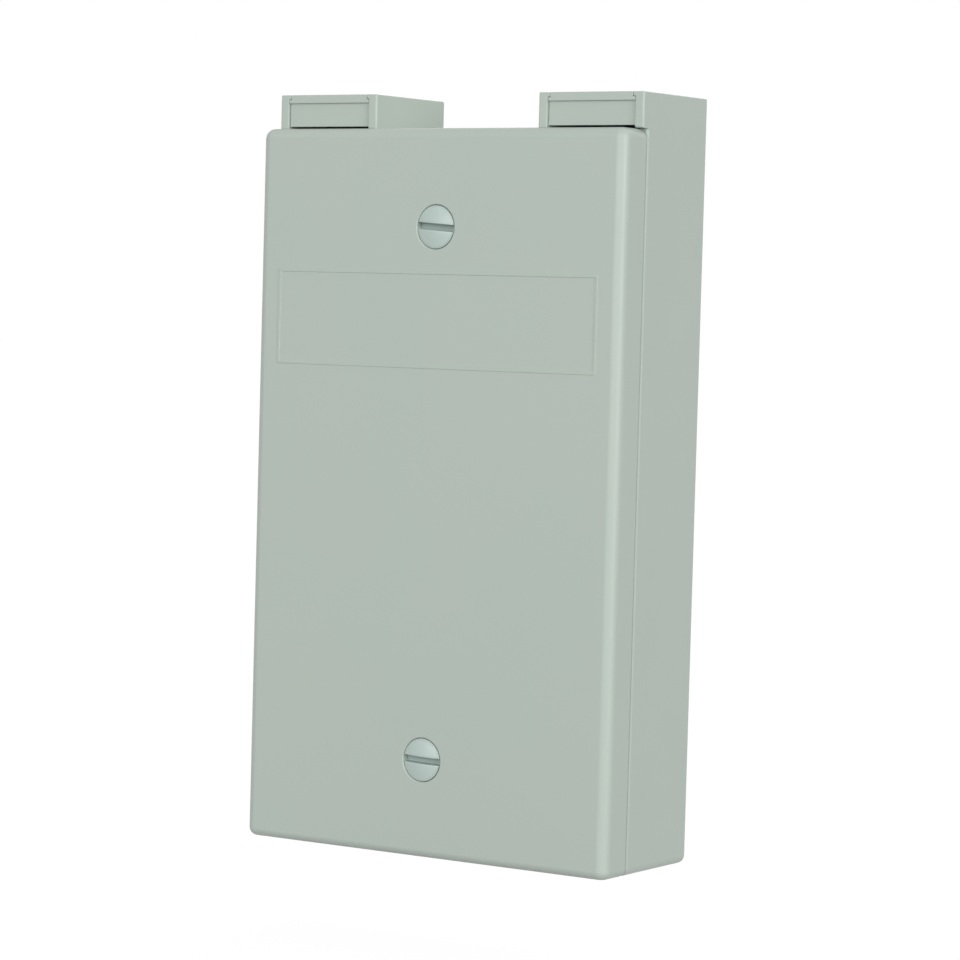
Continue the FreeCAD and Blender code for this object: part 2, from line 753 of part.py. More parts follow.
def build_small_screw(label, x, z, seat, grip):
    """A slotted pan-head screw that seats at a depth and reaches back through what it holds."""
    head, shank = size("small_head_diameter") / 2, size("small_shank_diameter") / 2
    crown = seat + size("small_head_height")
    tip = seat - grip
    body = turned(label, [(0, tip), (shank, tip), (shank, seat), (head, seat), (head, crown), (0, crown)])
    sketch = at_depth(body, "slot_outline", crown)
    rectangle(sketch, 0, 0, 2 * size("small_head_diameter"), size("small_slot_width"))
    pocket(body, "slot", sketch, size("small_slot_depth"))
    place_at(body, x, z)
    return body


def build_screw_group(label, places, seat, held, post):
    """Equal screws as one node of separate solids, each through what it holds and into its post."""
    grip = held + post - size("small_tip_room")
    screws = []
    for number, (x, z) in enumerate(places, start=1):
        screws.append(build_small_screw(f"{label}_{number}", x, z, seat, grip))
    group = doc.addObject("Part::Compound", label)
    group.Label = label
    group.Links = screws
    doc.recompute()
    return group


def build_splice_tray():
    """The fibre organiser: floor, rim with entries and tabs, two open drums and access to the wall holes."""
    body = new_body("splice_tray")
    rim_wall = size("tray_rim_wall")
    sketch = at_depth(body, "floor_outline", tray_seat)
    rectangle(sketch, 0, tray_rise, tray_width, tray_height)
    pad(body, "floor", sketch, size("tray_floor"))
    sketch = at_depth(body, "rim_outline", tray_top)
    rectangle(sketch, 0, tray_rise, tray_width, tray_height)
    rectangle(sketch, 0, tray_rise, tray_width - 2 * rim_wall, tray_height - 2 * rim_wall)
    pad(body, "rim", sketch, size("tray_rim_height"))

    # Entries for the fibres: from the clamps above and to the outlets below
    sketch = at_depth(body, "entry_outlines", tray_rim_top)
    outlets_between = outlet_first + (OUTLETS_PER_SIDE - 1) * outlet_pitch / 2
    for side in (LEFT, RIGHT):
        for x, z in ((hood_middle, tray_high), (outlets_between, tray_low)):
            rectangle(sketch, side * x, z, size("tray_entry_width"), 3 * rim_wall)
    pocket(body, "entries", sketch, size("tray_rim_height"))

    # Drums, each open towards the other
    drums = [(side * drum_reach, drum_rise) for side in (LEFT, RIGHT)]
    sketch = circles(body, "drum_rings", tray_top, drums, size("drum_diameter"))
    for x, z in drums:
        circle(sketch, x, z, size("drum_diameter") - 2 * size("drum_wall"))
    pad(body, "drums", sketch, size("drum_height"))
    sketch = at_depth(body, "drum_openings", tray_top + size("drum_height"))
    rectangle(sketch, 0, drum_rise, 2 * drum_reach, size("drum_opening"))
    pocket(body, "openings", sketch, size("drum_height"))

    # Tabs that keep the loops down
    sketch = at_depth(body, "tab_outlines", tray_rim_top)
    for side in (LEFT, RIGHT):
        for level in (LEFT, RIGHT):
            x = side * (tray_width - size("tab_length")) / 2
            rectangle(sketch, x, drum_rise + level * size("tab_spacing") / 2, size("tab_length"),
                      size("tab_width"))
    pad(body, "tabs", sketch, size("tab_thickness"))

    # Holes for the tray's screws, and windows through which the wall screws are driven
    pocket(body, "screw_holes", circles(body, "hole_rings", tray_top, tray_screw_places, small_hole),
           size("tray_floor"))
    access = size("wall_hole_diameter") + 2 * size("access_margin")
    sketch = at_depth(body, "access_outlines", tray_top)
    for x, z in wall_hole_places:
        rectangle(sketch, x, z, access, access)
    pocket(body, "access_windows", sketch, size("tray_floor"))
    return body


def build_splice_holder():
    """The comb that grips the splice protectors, fixed to the tray's floor."""
    body = new_body("splice_holder")
    sketch = at_depth(body, "outline", tray_top)
    rectangle(sketch, 0, (holder_low + holder_high) / 2, size("holder_length"), holder_width)
    pad(body, "block", sketch, size("holder_height"))
    sketch = at_depth(body, "slot_outlines", tray_top + size("holder_height"))
    for step in range(SPLICE_SLOTS):
        slot = holder_low + size("holder_rib") + size("holder_slot") / 2 + step * holder_pitch
        rectangle(sketch, 0, slot, 2 * size("holder_length"), size("holder_slot"))
    pocket(body, "slots", sketch, size("holder_height") - size("holder_floor"))
    return body


def build_adapter(label, x):
    """A fibre coupler: a flanged housing with a socket at each end and a barrel for the sleeve."""
    body = new_body(label)
    width, thickness, length = size("adapter_width"), size("adapter_thickness"), size("adapter_length")
    sketch = sketch_on(body, "outline", "XY_Plane", -length / 2)
    rectangle(sketch, 0, 0, width, thickness)
    pad(body, "housing", sketch, length)
    flange = size("adapter_flange_thickness")
    sketch = sketch_on(body, "flange_outline", "XY_Plane", -flange / 2)
    rectangle(sketch, 0, 0, flange_width, thickness)
    pad(body, "flange", sketch, flange)
    for name, level, backwards in (("upper", RIGHT, False), ("lower", LEFT, True)):
        sketch = sketch_on(body, f"{name}_mouth", "XY_Plane", level * length / 2)
        rectangle(sketch, 0, 0, socket_width, socket_thickness)
        pocket(body, f"{name}_socket", sketch, socket_depth, backwards)
        sketch = sketch_on(body, f"{name}_key_outline", "XY_Plane", level * length / 2)
        rectangle(sketch, 0, -thickness / 2, size("key_width"), thickness - socket_thickness)
        pocket(body, f"{name}_key", sketch, size("key_length"), backwards)
    sketch = sketch_on(body, "barrel_ring", "XY_Plane", -size("barrel_length") / 2)
    circle(sketch, 0, 0, barrel_diameter)
    pad(body, "barrel", sketch, size("barrel_length"))

    # Bore for the ferrules, widened in the middle for the sleeve
    sketch = sketch_on(body, "ferrule_ring", "XY_Plane", size("barrel_length") / 2)
    circle(sketch, 0, 0, sleeve_bore + 2 * size("ferrule_fit"))
    pocket(body, "ferrule_bore", sketch, size("barrel_length"))
    radius, reach = sleeve_room / 2, size("barrel_length") / 2 - size("barrel_end")
    sketch = sketch_on(body, "sleeve_profile", "XZ_Plane", 0)
    polygon(sketch, [(0, -reach), (radius, -reach), (radius, reach), (0, reach)])
    groove = body.newObject("PartDesign::Groove", "sleeve_room")
    groove.Profile = sketch
    groove.ReferenceAxis = (sketch, ["V_Axis"])
    groove.Angle = FULL_TURN
    doc.recompute()
    place_outlet(body, x, outlet_rise)
    return body


def place_outlet(body, x, z):
    place_at(body, x, z)
    bind(body, "Placement.Base.y", -outlet_middle)


def build_sleeve(label, x):
    """The ceramic split sleeve that lines up two fibres inside a coupler."""
    body = new_body(label)
    sketch = sketch_on(body, "ring", "XY_Plane", -sleeve_length / 2)
    circle(sketch, 0, 0, size("sleeve_diameter"))
    circle(sketch, 0, 0, sleeve_bore)
    pad(body, "tube", sketch, sleeve_length)
    sketch = sketch_on(body, "slit_outline", "XY_Plane", sleeve_length / 2)
    rectangle(sketch, 0, -size("sleeve_diameter") / 2, size("sleeve_slit"), size("sleeve_diameter"))
    pocket(body, "slit", sketch, sleeve_length)
    place_outlet(body, x, outlet_rise)
    return body


def build_cap(label, x, level):
    """A dust cap: a hollow plug in the socket and a grooved grip outside it."""
    body = new_body(label)
    fit = size("cap_fit")
    backwards = level == LEFT
    grip_width = size("adapter_width") - 2 * size("cap_grip_side")
    grip_thickness = size("adapter_thickness") - 2 * size("cap_grip_step")
    plug_length = socket_depth - size("cap_plug_room")
    sketch = sketch_on(body, "grip_outline", "XY_Plane", 0)
    rectangle(sketch, 0, 0, grip_width, grip_thickness)
    pad(body, "grip", sketch, cap_grip_length, backwards)
    sketch = sketch_on(body, "plug_outline", "XY_Plane", 0)
    rectangle(sketch, 0, 0, socket_width - 2 * fit, socket_thickness - 2 * fit)
    pad(body, "plug", sketch, plug_length, not backwards)
    sketch = sketch_on(body, "hollow_outline", "XY_Plane", -level * plug_length)
    hollow = barrel_diameter + 2 * size("cap_barrel_gap")
    rectangle(sketch, 0, 0, hollow, hollow)
    pocket(body, "hollow", sketch, plug_length, not backwards)

    # Finger grooves across the wide faces of the grip
    groove = size("cap_groove")
    sketch = sketch_on(body, "groove_outlines", "YZ_Plane", grip_width / 2)
    for hand in (LEFT, RIGHT):
        for step in range(1, CAP_GROOVES + 1):
            rise = level * cap_grip_length * step / (CAP_GROOVES + 1)
            rectangle(sketch, hand * grip_thickness / 2, rise, 2 * groove, groove)
    pocket(body, "grooves", sketch, grip_width)
    place_outlet(body, x, outlet_high if level == RIGHT else outlet_low)
    return body


pieces = [build_base(), build_cover()]
for name, hand in (("top", RIGHT), ("bottom", LEFT)):
    level = hand * screw_rise
    pieces.append(build_cover_screw(f"cover_screw_{name}", level, size(f"slot_turn_{name}")))
    pieces.append(build_washer(f"captive_washer_{name}", level))
    pieces.append(build_threaded_insert(f"threaded_insert_{name}", level))
for name, hand in (("left", LEFT), ("right", RIGHT)):
    pieces.append(build_entry_insert(f"entry_insert_{name}", hand))
    pieces.append(build_clamp(f"cable_clamp_{name}", hand))
pieces.append(build_screw_group("clamp_screws", clamp_screw_places, clamp_top, size("clamp_thickness"),
                                size("clamp_post_height")))
pieces.append(build_splice_tray())
pieces.append(build_splice_holder())
pieces.append(build_screw_group("tray_screws", tray_screw_places, tray_top, size("tray_floor"),
                                size("tray_standoff")))
for number, place in enumerate(outlet_places, start=1):
    pieces.append(build_adapter(f"adapter_{number}", place))
    pieces.append(build_sleeve(f"alignment_sleeve_{number}", place))
    pieces.append(build_cap(f"outer_cap_{number}", place, LEFT))
    pieces.append(build_cap(f"inner_cap_{number}", place, RIGHT))
doc.recompute()

for item in doc.Objects:
    if "Invalid" in item.State or "Error" in item.State:
        raise RuntimeError(f"{item.Label} failed: {item.State}")
for piece in pieces:
    if piece.Shape.isNull() or not piece.Shape.isValid():
        raise RuntimeError(f"{piece.Label} has no valid shape")

os.makedirs("parts", exist_ok=True)
for piece in pieces:
    piece.Shape.exportStep(f"parts/{piece.Label}.step")
    box = piece.Shape.BoundBox
    print(f"{piece.Label}: {len(piece.Shape.Solids)} solid(s), {piece.Shape.Volume:.1f} mm3, "
          f"{box.XLength:.2f} x {box.YLength:.2f} x {box.ZLength:.2f}")
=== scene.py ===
import math

import bmesh
import bpy
from mathutils import Matrix, Vector


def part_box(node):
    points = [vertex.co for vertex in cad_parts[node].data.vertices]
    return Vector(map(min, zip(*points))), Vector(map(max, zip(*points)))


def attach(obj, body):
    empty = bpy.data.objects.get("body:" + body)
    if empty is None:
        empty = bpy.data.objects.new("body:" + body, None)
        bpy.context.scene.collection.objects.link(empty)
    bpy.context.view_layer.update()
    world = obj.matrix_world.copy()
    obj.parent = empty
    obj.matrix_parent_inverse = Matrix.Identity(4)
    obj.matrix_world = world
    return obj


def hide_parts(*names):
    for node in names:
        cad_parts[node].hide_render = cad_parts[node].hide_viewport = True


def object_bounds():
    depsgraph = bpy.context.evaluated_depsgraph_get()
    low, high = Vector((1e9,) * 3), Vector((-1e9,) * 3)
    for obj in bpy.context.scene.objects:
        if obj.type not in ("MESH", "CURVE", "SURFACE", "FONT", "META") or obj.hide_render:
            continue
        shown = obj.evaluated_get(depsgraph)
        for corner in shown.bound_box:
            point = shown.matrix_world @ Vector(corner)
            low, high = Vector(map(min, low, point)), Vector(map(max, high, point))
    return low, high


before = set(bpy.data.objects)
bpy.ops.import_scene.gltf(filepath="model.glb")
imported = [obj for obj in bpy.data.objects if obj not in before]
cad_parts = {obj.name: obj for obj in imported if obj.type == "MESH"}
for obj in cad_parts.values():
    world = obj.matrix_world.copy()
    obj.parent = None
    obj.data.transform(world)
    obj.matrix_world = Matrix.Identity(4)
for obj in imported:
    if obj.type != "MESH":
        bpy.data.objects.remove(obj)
cad_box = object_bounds()

# The base is the deep half of the housing, a tray moulded in grey-green ABS with both cable hoods in one
# shot. It is screwed flat to the wall through four holes in its back, and carries everything else.

MM = 0.001
BASE_EDGE = 0.16 * MM
HOUSING_TINT = (0.434, 0.502, 0.455, 1)
HOUSING_TINT_WARM = (0.446, 0.505, 0.454, 1)
SHEEN_SWING = 0.03
SHEEN_PATCHES = 6
GRAIN_STRENGTH = 0.3
JOIN = 0.0005 * MM
FLAT = math.radians(0.3)
CORNER = math.radians(35)
FOLDED_BACK = -0.3
FOLD_ROOMS = (1.5, 2.5, 4, 6, 9)
EDGE_STEPS = 2


def new_finish(name):
    """An empty finish: the material, its node tree and its shader."""
    finish = bpy.data.materials.new(name)
    finish.use_nodes = True
    shader = finish.node_tree.nodes["Principled BSDF"]
    return finish, finish.node_tree, shader


def noise(tree, lump, detail, stretch=(1, 1, 1)):
    """Noise in the piece's own space, with the size of one lump and how far it is drawn out each way."""
    place = tree.nodes.new("ShaderNodeTexCoord")
    drawn = tree.nodes.new("ShaderNodeVectorMath")
    drawn.operation = "DIVIDE"
    drawn.inputs[1].default_value = stretch
    tree.links.new(place.outputs["Object"], drawn.inputs[0])
    texture = tree.nodes.new("ShaderNodeTexNoise")
    texture.inputs["Scale"].default_value = 1 / lump
    texture.inputs["Detail"].default_value = detail
    tree.links.new(drawn.outputs["Vector"], texture.inputs["Vector"])
    return texture.outputs["Fac"]


def spread(tree, value, low, high, start=0.3, end=0.7):
    """A value stretched between two limits."""
    node = tree.nodes.new("ShaderNodeMapRange")
    node.inputs["From Min"].default_value = start
    node.inputs["From Max"].default_value = end
    node.inputs["To Min"].default_value = low
    node.inputs["To Max"].default_value = high
    tree.links.new(value, node.inputs["Value"])
    return node.outputs["Result"]


def blend_tints(tree, share, first, second):
    """A colour between two tints."""
    node = tree.nodes.new("ShaderNodeMix")
    node.data_type = "RGBA"
    tree.links.new(share, node.inputs["Factor"])
    node.inputs["A"].default_value = first
    node.inputs["B"].default_value = second
    return node.outputs["Result"]


def press_grain(tree, shader, height, depth, strength):
    """Fine relief on the surface, as deep as given."""
    bump = tree.nodes.new("ShaderNodeBump")
    bump.inputs["Distance"].default_value = depth
    bump.inputs["Strength"].default_value = strength
    tree.links.new(height, bump.inputs["Height"])
    tree.links.new(bump.outputs["Normal"], shader.inputs["Normal"])


def moulded_plastic(name, tint, second_tint, roughness, cloud, grain, relief):
    """A moulded plastic: two close tints clouded by the melt, an uneven sheen and the mould's fine grain."""
    finish, tree, shader = new_finish(name)
    clouds = spread(tree, noise(tree, cloud, detail=2), 0, 1)
    tree.links.new(blend_tints(tree, clouds, tint, second_tint), shader.inputs["Base Color"])
    patches = noise(tree, cloud / SHEEN_PATCHES, detail=3)
    sheen = spread(tree, patches, roughness - SHEEN_SWING, roughness + SHEEN_SWING)
    tree.links.new(sheen, shader.inputs["Roughness"])
    press_grain(tree, shader, noise(tree, grain, detail=2), relief, GRAIN_STRENGTH)
    return finish


def dress(name, finish):
    """Gives a node of the part its finish."""
    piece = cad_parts[name]
    piece.data.materials.clear()
    piece.data.materials.append(finish)
    return piece


def sharp_edges(mesh):
    """The ends of every edge at which two faces of a mesh meet in a corner."""
    net = bmesh.new()
    net.from_mesh(mesh)
    bmesh.ops.remove_doubles(net, verts=net.verts, dist=JOIN)
    bmesh.ops.dissolve_limit(net, angle_limit=FLAT, verts=net.verts, edges=net.edges)
    found = [tuple(end.co.copy() for end in edge.verts) for edge in net.edges
             if len(edge.link_faces) == 2 and edge.calc_face_angle(0) > CORNER]
    net.free()
    return found


def edge_key(ends):
    """A key by which an edge is known from its two ends."""
    return frozenset(tuple(round(value / JOIN) for value in end) for end in ends)


def folds(piece):
    """Places at which a piece, with its edges rounded, would fold back on itself."""
    shape = piece.evaluated_get(bpy.context.evaluated_depsgraph_get())
    net = bmesh.new()
    net.from_mesh(shape.to_mesh())
    spots = []
    for edge in net.edges:
        normals = [face.normal for face in edge.link_faces]
        if len(normals) == 2 and normals[0].dot(normals[1]) < FOLDED_BACK:
            spots.append((edge.verts[0].co + edge.verts[1].co) / 2)
    net.free()
    shape.to_mesh_clear()
    return spots


def distance_to_edge(spot, ends):
    """How far a spot lies from an edge between its two ends."""
    along = ends[1] - ends[0]
    share = min(1, max(0, (spot - ends[0]).dot(along) / along.length_squared))
    return (spot - ends[0] - along * share).length


def break_edges(piece, width, share_at=None):
    """Rounds a piece's sharp edges as the mould leaves them, and keeps its flats even.

    Edges near a fold stay sharp, with more room round the folds each time until none is left. Where share_at is
    given, it tells what share of the width an edge with that middle gets."""
    mesh = piece.data
    shading = mesh.attributes.get("custom_normal")
    if shading:
        mesh.attributes.remove(shading)
    mesh.shade_smooth()
    join = piece.modifiers.new("joined faces", "WELD")
    join.merge_threshold = JOIN
    flats = piece.modifiers.new("whole flats", "DECIMATE")
    flats.decimate_type = "DISSOLVE"
    flats.angle_limit = FLAT
    edges = piece.modifiers.new("broken edges", "BEVEL")
    edges.width = width
    edges.segments = EDGE_STEPS
    edges.limit_method = "WEIGHT"
    edges.use_clamp_overlap = False
    weights = mesh.attributes.new("bevel_weight_edge", "FLOAT", "EDGE")
    keys = [edge_key([mesh.vertices[end].co for end in edge.vertices]) for edge in mesh.edges]
    corners = sharp_edges(mesh)
    chosen = [(ends, share_at((ends[0] + ends[1]) / 2) if share_at else 1) for ends in corners]
    for room in FOLD_ROOMS:
        shares = {edge_key(ends): share for ends, share in chosen}
        weights.data.foreach_set("value", [shares.get(key, 0) for key in keys])
        mesh.update()
        spots = folds(piece)
        if not spots:
            break
        chosen = [(ends, share) for ends, share in chosen
                  if all(distance_to_edge(spot, ends) > room * share * width for spot in spots)]
    kept_sharp = {edge_key(ends) for ends in corners} - {edge_key(ends) for ends, share in chosen}
    sharp = mesh.attributes.get("sharp_edge") or mesh.attributes.new("sharp_edge", "BOOLEAN", "EDGE")
    sharp.data.foreach_set("value", [key in kept_sharp for key in keys])
    mesh.update()
    even = piece.modifiers.new("even flats", "WEIGHTED_NORMAL")
    even.keep_sharp = True


housing_plastic = moulded_plastic("satin housing plastic", HOUSING_TINT, HOUSING_TINT_WARM, 0.4,
                                  cloud=38 * MM, grain=0.2 * MM, relief=0.006 * MM)
break_edges(dress("base", housing_plastic), BASE_EDGE)

# The bushes are turned from brass bar, knurled, grooved and tapped, then pressed hot into the base's two bosses.
# The cover screws turn in them.

BRASS_TINT = (0.60, 0.38, 0.12, 1)
BRASS_TINT_DULL = (0.50, 0.31, 0.10, 1)
METAL_PATCH = 3 * MM
METAL_SHEEN_PATCH = 1.2 * MM
METAL_SHEEN_SWING = 0.06
TOOL_RING_STRETCH = (30, 1, 30)
TOOL_RING_DEPTH = 0.008 * MM
TOOL_RING_STRENGTH = 0.35
BUSH_COLUMNS = 48
BUSH_CHAMFER = 0.25 * MM
BUSH_MOUTH = 0.35 * MM
BUSH_BORE = 2.5 * MM
BUSH_GROOVE_WIDTH = 2 * MM
BUSH_GROOVE_DEPTH = 0.22 * MM
KNURL_DEPTH = 0.1 * MM
METRIC_PITCH = 0.8 * MM
METRIC_DEPTH = 0.35 * MM
THREAD_ROWS = 8
THREAD_FLAT = 0.14
SHARP_FROM = math.radians(40)

scene = bpy.context.scene


def turned_metal(name, tint, dull_tint, roughness, ring):
    """Turned metal: fine rings left by the tool across the axis, and a sheen that dulls in patches."""
    finish, tree, shader = new_finish(name)
    patches = spread(tree, noise(tree, METAL_PATCH, detail=3), 0, 1)
    tree.links.new(blend_tints(tree, patches, tint, dull_tint), shader.inputs["Base Color"])
    shader.inputs["Metallic"].default_value = 1
    shine = noise(tree, METAL_SHEEN_PATCH, detail=3)
    sheen = spread(tree, shine, roughness - METAL_SHEEN_SWING, roughness + METAL_SHEEN_SWING)
    tree.links.new(sheen, shader.inputs["Roughness"])
    rings = noise(tree, ring, detail=2, stretch=TOOL_RING_STRETCH)
    press_grain(tree, shader, rings, TOOL_RING_DEPTH, TOOL_RING_STRENGTH)
    return finish


def thread_height(row):
    """How far a thread stands out on one of its rows, from nought at its root to one at its crest."""
    share = row % THREAD_ROWS / THREAD_ROWS
    flank = 1 - abs(2 * share - 1)
    return min(1, max(0, (flank - THREAD_FLAT) / (1 - 2 * THREAD_FLAT)))


def climbing_rows(angles, start, end, pitch, radius_at):
    """Rows of points that climb with a right-hand thread, cut off level where it starts and where it ends."""
    rows = []
    for row in range(math.ceil((start - end) / pitch * THREAD_ROWS) + THREAD_ROWS + 1):
        points = []
        for angle in angles:
            climb = (angle - angles[0]) / math.tau - row / THREAD_ROWS
            depth = min(start, max(end, start + pitch * climb))
            radius = radius_at(thread_height(row), depth)
            points.append((radius * math.cos(angle), -depth, radius * math.sin(angle)))
        rows.append(points)
    return rows


def ring(angles, radius, depth):
    """A level ring of points about the axis, at a depth in front of the wall."""
    return [(radius * math.cos(angle), -depth, radius * math.sin(angle)) for angle in angles]


def new_piece(name, nets, finish):
    """A piece from nets of points: each row joins the next, doubled points merge and faces turn outwards."""
    points = []
    faces = []
    for rows in nets:
        for number, row in enumerate(rows):
            start = len(points)
            points += row
            if number:
                before = start - len(row)
                for step in range(len(row) - 1):
                    faces.append((before + step, before + step + 1, start + step + 1, start + step))
    mesh = bpy.data.meshes.new(name)
    mesh.from_pydata(points, [], faces)
    work = bmesh.new()
    work.from_mesh(mesh)
    bmesh.ops.remove_doubles(work, verts=work.verts, dist=JOIN)
    bmesh.ops.recalc_face_normals(work, faces=work.faces)
    work.to_mesh(mesh)
    work.free()
    mesh.shade_smooth()
    mesh.set_sharp_from_angle(angle=SHARP_FROM)
    mesh.materials.append(finish)
    piece = bpy.data.objects.new(name, mesh)
    scene.collection.objects.link(piece)
    return piece


def tapped_bush(name, node, finish):
    """A bush in place of a plain one: knurled outside in two bands, tapped inside, with a mouth at both ends."""
    low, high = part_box(node)
    front, back, outer = -low.y, -high.y, (high.x - low.x) / 2
    middle = (front + back) / 2
    angles = [math.tau * step / BUSH_COLUMNS for step in range(BUSH_COLUMNS + 1)]
    root = BUSH_BORE + METRIC_DEPTH
    mouth = root + BUSH_MOUTH / 4
    groove = outer - BUSH_GROOVE_DEPTH

    def knurled(depth):
        radii = [outer - KNURL_DEPTH * (step % 2) for step in range(len(angles))]
        return [(radius * math.cos(angle), -depth, radius * math.sin(angle)) for radius, angle in zip(radii, angles)]

    rows = [ring(angles, mouth, front), ring(angles, outer - BUSH_CHAMFER, front)]
    for band_front, band_back in ((front - BUSH_CHAMFER, middle + BUSH_GROOVE_WIDTH / 2),
                                  (middle - BUSH_GROOVE_WIDTH / 2, back + BUSH_CHAMFER)):
        rows += [knurled(band_front), knurled(band_back)]
        if band_back > middle:
            rows += [ring(angles, groove, band_back), ring(angles, groove, band_back - BUSH_GROOVE_WIDTH)]
    rows += [ring(angles, outer - BUSH_CHAMFER, back), ring(angles, mouth, back)]

    def tapped(height, depth):
        into = min(1, min(front - depth, depth - back) / BUSH_MOUTH)
        return root - METRIC_DEPTH * height * max(0, into)

    rows += reversed(climbing_rows(angles, front, back, METRIC_PITCH, tapped))
    rows.append(rows[0])
    bush = new_piece(name, [rows], finish)
    bush.location = ((low.x + high.x) / 2, 0, (low.z + high.z) / 2)
    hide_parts(node)
    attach(bush, "box")


brass = turned_metal("turned brass", BRASS_TINT, BRASS_TINT_DULL, 0.3, ring=0.06 * MM)
for end in ("top", "bottom"):
    tapped_bush(f"tapped_bush_{end}", f"threaded_insert_{end}", brass)

# Each cable clamp is a bar of black nylon with a hollow for the cable. Two zinc-plated screws draw it down onto
# its posts behind a hood.

NYLON_TINT = (0.020, 0.020, 0.022, 1)
NYLON_TINT_WORN = (0.028, 0.028, 0.030, 1)
CLAMP_EDGE = 0.25 * MM
ZINC_TINT = (0.62, 0.64, 0.65, 1)
ZINC_TINT_DULL = (0.50, 0.53, 0.55, 1)
CLAMP_SCREWS_ACROSS = (-37.1 * MM, -24.7 * MM, 24.7 * MM, 37.1 * MM)
CLAMP_SCREW_TURNS = (24, -41, 63, 8)
SMALL_HEAD = 2.6 * MM
SMALL_HEAD_HEIGHT = 1.9 * MM
SMALL_HEAD_DOME = 0.6 * MM
SMALL_ROUNDING = 0.3 * MM
SMALL_SLOT = (0.8 * MM, 0.9 * MM)
SMALL_NECK = 0.5 * MM
SMALL_THREAD = (1.3 * MM, 0.95 * MM, 1.1 * MM)
HEAD_COLUMNS = 36
DOME_ROWS = 14
LIP_STEPS = 3
SLOT_FLOOR_STEPS = 2
SLOT_DRAFT = 0.03 * MM


def slotted_screw(name, finish, head, seat, crown, dome, slot, neck, thread, thread_start, tip, rounding):
    """A screw with a domed, slotted head: one net of points from the slot over the rim and down the thread.

    The slot is its width and depth, and the thread its outer radius, root radius and pitch."""
    slot_width, slot_depth = slot
    outer, root, pitch = thread
    bulge = (head ** 2 + dome ** 2) / (2 * dome)
    floor = crown - slot_depth
    half = slot_width / 2
    lip = rounding / 2

    def top(reach):
        over = max(0, reach - head + rounding)
        return (crown - bulge + math.sqrt(bulge ** 2 - reach ** 2)
                - rounding + math.sqrt(max(0, rounding ** 2 - over ** 2)))

    # Chords across the head: each has its height, and how far it drops below the dome or else its own depth
    first = math.asin((half + lip) / head)
    chords = []
    for step in range(DOME_ROWS + 1):
        chords.append((head * math.sin(math.pi / 2 + (first - math.pi / 2) * step / DOME_ROWS), 0, None))
    for step in range(1, LIP_STEPS + 1):
        roll = math.pi / 2 * step / LIP_STEPS
        chords.append((half + lip - lip * math.sin(roll), lip - lip * math.cos(roll), None))
    for step in range(SLOT_FLOOR_STEPS + 1):
        roll = math.pi / 2 * step / SLOT_FLOOR_STEPS
        inner = half - SLOT_DRAFT - lip
        chords.append((inner + lip * math.cos(roll), 0, floor + lip - lip * math.sin(roll)))
    chords += [(-height, drop, level) for height, drop, level in reversed(chords)]

    net = []
    right_rim, left_rim = [], []
    for height, drop, level in chords:
        reach = math.sqrt(max(0, head ** 2 - height ** 2))
        row = []
        for column in range(HEAD_COLUMNS + 1):
            across = -math.cos(math.pi * column / HEAD_COLUMNS) * reach
            depth = top(math.hypot(across, height)) - drop if level is None else level
            row.append((across, -depth, height))
        net.append(row)
        lean = math.asin(max(-1, min(1, height / head)))
        right_rim.append((lean, row[-1]))
        left_rim.append((-math.pi - lean, row[0]))
    rim = list(reversed(right_rim + list(reversed(left_rim))))
    angles = [angle for angle, point in rim]

    def cut(height, depth):
        runs_in = min(1, (thread_start - depth) / pitch)
        return min(root + (outer - root) * height * runs_in, root - pitch / 4 + depth - tip)

    rows = [[point for angle, point in rim], ring(angles, head, seat + lip), ring(angles, head - lip, seat),
            ring(angles, neck + lip, seat), ring(angles, neck, seat - lip), ring(angles, neck, thread_start + lip),
            ring(angles, root, thread_start)]
    rows += climbing_rows(angles, thread_start, tip, pitch, cut)
    rows.append(ring(angles, 0, tip))
    return new_piece(name, [net, rows], finish)


def small_screws(node, places, turns, finish):
    """Small screws in place of a node's plain ones, each with its slot turned as the driver left it."""
    low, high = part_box(node)
    seat = -low.y - SMALL_HEAD_HEIGHT
    for number, ((x, z), turn) in enumerate(zip(places, turns), start=1):
        screw = slotted_screw(f"{node}_{number}", finish, head=SMALL_HEAD, seat=seat, crown=-low.y,
                              dome=SMALL_HEAD_DOME, slot=SMALL_SLOT, neck=SMALL_THREAD[1], thread=SMALL_THREAD,
                              thread_start=seat - SMALL_NECK, tip=-high.y, rounding=SMALL_ROUNDING)
        screw.location = (x, 0, z)
        screw.rotation_euler.y = math.radians(turn)
        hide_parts(node)
        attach(screw, "box")


black_nylon = moulded_plastic("black clamp nylon", NYLON_TINT, NYLON_TINT_WORN, 0.48,
                              cloud=5 * MM, grain=0.15 * MM, relief=0.01 * MM)
zinc = turned_metal("zinc-plated steel", ZINC_TINT, ZINC_TINT_DULL, 0.34, ring=0.08 * MM)
for side in ("left", "right"):
    break_edges(dress(f"cable_clamp_{side}", black_nylon), CLAMP_EDGE)
clamp_screw_level = sum(corner.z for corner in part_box("clamp_screws")) / 2
clamp_screw_places = [(x, clamp_screw_level) for x in CLAMP_SCREWS_ACROSS]
small_screws("clamp_screws", clamp_screw_places, CLAMP_SCREW_TURNS, zinc)

# The splice tray is moulded in light grey ABS: a rimmed floor with two winding drums and tabs that hold the fibre
# down. It lies on posts of the base.

TRAY_TINT = (0.63, 0.65, 0.635, 1)
TRAY_TINT_WARM = (0.655, 0.66, 0.635, 1)
TRAY_EDGE = 0.14 * MM

tray_plastic = moulded_plastic("light grey tray plastic", TRAY_TINT, TRAY_TINT_WARM, 0.44,
                               cloud=24 * MM, grain=0.25 * MM, relief=0.008 * MM)
break_edges(dress("splice_tray", tray_plastic), TRAY_EDGE)

# The splice holder is a comb of soft black rubber, moulded in one piece and stuck to the tray's floor. Its slots take
# the splice protectors.

